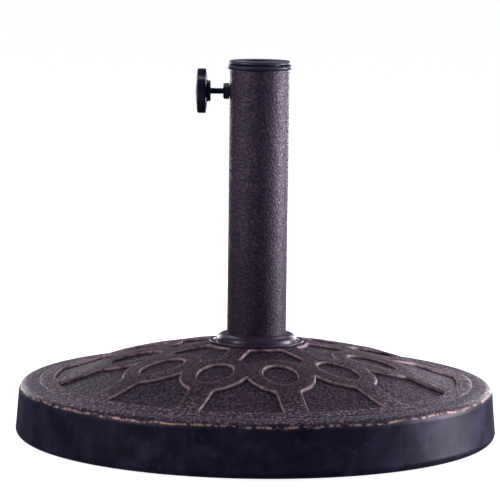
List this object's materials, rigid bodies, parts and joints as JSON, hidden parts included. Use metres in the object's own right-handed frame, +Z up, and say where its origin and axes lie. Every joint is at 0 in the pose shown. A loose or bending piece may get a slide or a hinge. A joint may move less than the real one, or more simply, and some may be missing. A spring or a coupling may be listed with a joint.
{
  "type": "parasol base",
  "caption": "Round weighted parasol base: ballasted dome with rosette relief, upright tube with a collar, pole reducer and a screw knob that clamps the pole.",
  "frame": {"origin": "on the ground under the tube's axis, at the bottom of the foot pads", "axes": "+Z up along the tube; the clamp knob points to -X; +Y is away from the viewer who sees the knob on the left"},
  "size_m": [0.4446, 0.4446, 0.3472],
  "materials": {
    "cast_bronze": "sand-cast resin in dark antique bronze, rubbed lighter on the raised edges",
    "hammered_bronze": "steel with a hammered, speckled dark bronze coating",
    "concrete": "rough cast concrete",
    "pad_rubber": "matt black rubber",
    "zinc_steel": "zinc plated",
    "collar_black": "glossy near-black moulding",
    "cap_black": "satin black moulding",
    "boss_black": "black coated steel",
    "screw_steel": "dark blued steel",
    "knob_black": "fine-grained black moulding",
    "nylon": "natural nylon"
  },
  "bodies": {
    "base": {"base_shell": "cast_bronze", "ballast_core": "concrete", "tube_socket": "collar_black", "foot_pad_1": "pad_rubber", "foot_pad_2": "pad_rubber", "foot_pad_3": "pad_rubber", "foot_pad_4": "pad_rubber", "foot_pad_5": "pad_rubber", "foot_pad_6": "pad_rubber", "upright_tube": "hammered_bronze", "tube_end_plate": "zinc_steel", "anchor_nut": "zinc_steel", "anchor_bolt": "zinc_steel", "anchor_washer": "zinc_steel", "lock_washer": "zinc_steel", "base_collar": "collar_black", "tube_end_ring": "cap_black", "clamp_boss": "boss_black"},
    "reducer_bush": {"pole_reducer": "cap_black"},
    "thrust_tip": {"screw_tip": "nylon"},
    "knob_and_screw": {"clamp_screw": "screw_steel", "clamp_knob": "knob_black", "knob_cap": "knob_black"}
  },
  "joints": [
    {"name": "reducer_lift", "type": "slide", "parent": "base", "child": "reducer_bush", "axis": [0, 0, 1], "range_m": [0, 0.07]},
    {"name": "screw_feed", "type": "slide", "parent": "base", "child": "thrust_tip", "axis": [1, 0, 0], "range_m": [-0.008, 0.0105]},
    {"name": "knob_turn", "type": "hinge", "parent": "thrust_tip", "child": "knob_and_screw", "pos_m": [-0.045, 0, 0.3188], "axis": [1, 0, 0], "range_deg": [-2880, 3780]}
  ],
  "couplings": [
    {"joint": "screw_feed", "follows": "knob_turn", "m_per_rad": 0.00015915}
  ]
}
